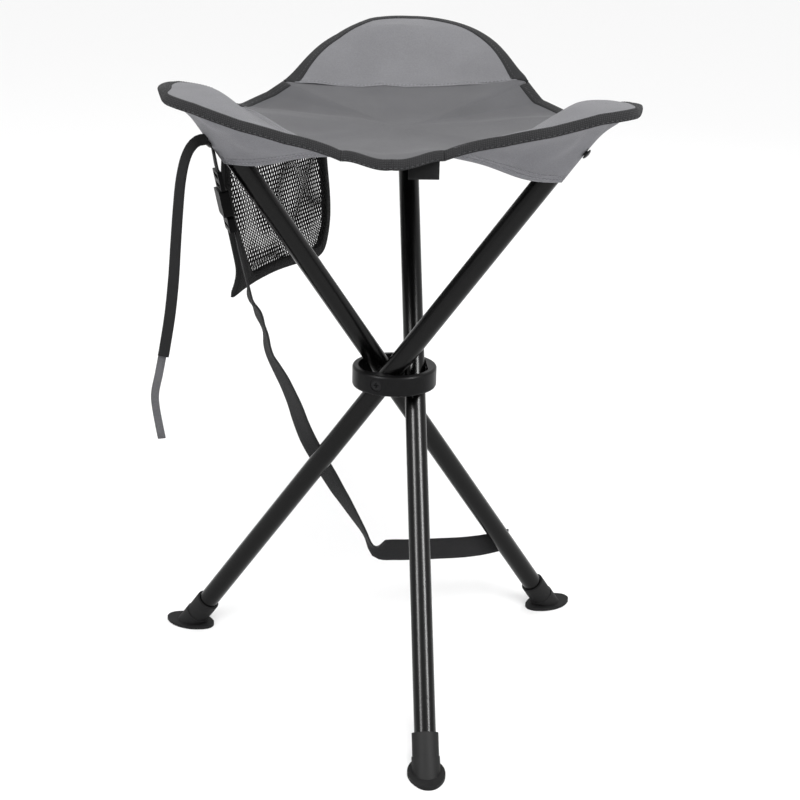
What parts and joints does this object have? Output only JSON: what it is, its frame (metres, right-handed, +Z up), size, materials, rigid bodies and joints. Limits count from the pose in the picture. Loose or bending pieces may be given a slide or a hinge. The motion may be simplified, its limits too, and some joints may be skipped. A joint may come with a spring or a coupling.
{
  "type": "camp stool",
  "caption": "Folding tripod camp stool: crossed black tube legs in a hub ring, three-cornered grey sling seat, mesh pocket, carry strap and tie strap.",
  "frame": {"origin": "on the ground under the centre of the hub ring, with the stool standing open", "axes": "+Z up; the front leg's foot is at -Y; +X to the right seen from the front"},
  "size_m": [0.3493, 0.3844, 0.4966],
  "materials": {
    "moulded_plastic": "satin moulded nylon",
    "black_hardware": "blackened steel",
    "black_rivet": "black enamelled",
    "powder_coat": "satin black powder coat",
    "foot_rubber": "matte moulded rubber",
    "dark_cloth": "coated plain weave",
    "light_cloth": "coated plain weave",
    "edge_tape": "ribbed binding tape",
    "netting": "open hexagonal netting",
    "black_tape": "ribbed binding tape",
    "webbing": "woven webbing",
    "tie_webbing": "woven webbing",
    "tie_webbing_end": "worn woven webbing",
    "buckle_plastic": "moulded acetal"
  },
  "bodies": {
    "hub": {"hub_ring": "moulded_plastic", "pivot_bolts": "black_hardware", "pivot_washers": "black_hardware", "pivot_nuts": "black_hardware", "seat_panel": "dark_cloth", "front_edge_tape": "edge_tape", "left_edge_tape": "edge_tape", "right_edge_tape": "edge_tape", "mesh_pocket": "netting", "mesh_pocket_tape": "black_tape", "hang_tab": "black_tape"},
    "front_leg": {"front_tube": "powder_coat", "front_foot": "foot_rubber", "front_tube_cap": "foot_rubber", "back_corner": "light_cloth", "back_pocket": "light_cloth", "back_rivet": "black_rivet", "back_corner_tape": "edge_tape"},
    "left_leg": {"left_tube": "powder_coat", "left_foot": "foot_rubber", "left_tube_cap": "foot_rubber", "right_corner": "light_cloth", "right_pocket": "light_cloth", "right_rivet": "black_rivet", "right_corner_tape": "edge_tape"},
    "right_leg": {"right_tube": "powder_coat", "right_foot": "foot_rubber", "right_tube_cap": "foot_rubber", "left_corner": "light_cloth", "left_pocket": "light_cloth", "left_rivet": "black_rivet", "left_corner_tape": "edge_tape", "carry_strap": "webbing", "strap_anchor": "webbing", "strap_slider": "buckle_plastic", "buckle_socket": "buckle_plastic", "buckle_plug": "buckle_plastic", "strap_rivet": "black_rivet", "tie_strap": "tie_webbing", "tie_strap_end": "tie_webbing_end"}
  },
  "joints": [
    {"name": "front_leg_fold", "type": "hinge", "parent": "hub", "child": "front_leg", "pos_m": [0.0157, 0, 0.246], "axis": [1, 0, 0], "range_deg": [0, 36], "deforming": ["seat_panel", "front_edge_tape", "left_edge_tape", "right_edge_tape", "back_corner", "back_pocket", "back_corner_tape"]},
    {"name": "left_leg_fold", "type": "hinge", "parent": "hub", "child": "left_leg", "pos_m": [-0.00785, -0.0136, 0.246], "axis": [-0.5, -0.866, 0], "range_deg": [0, 36], "deforming": ["right_corner", "right_pocket", "right_corner_tape"]},
    {"name": "right_leg_fold", "type": "hinge", "parent": "hub", "child": "right_leg", "pos_m": [-0.00785, 0.0136, 0.246], "axis": [-0.5, 0.866, 0], "range_deg": [0, 36], "deforming": ["left_corner", "left_pocket", "left_corner_tape"]}
  ],
  "couplings": [
    {"joint": "left_leg_fold", "follows": "front_leg_fold", "ratio": 1},
    {"joint": "right_leg_fold", "follows": "front_leg_fold", "ratio": 1}
  ]
}
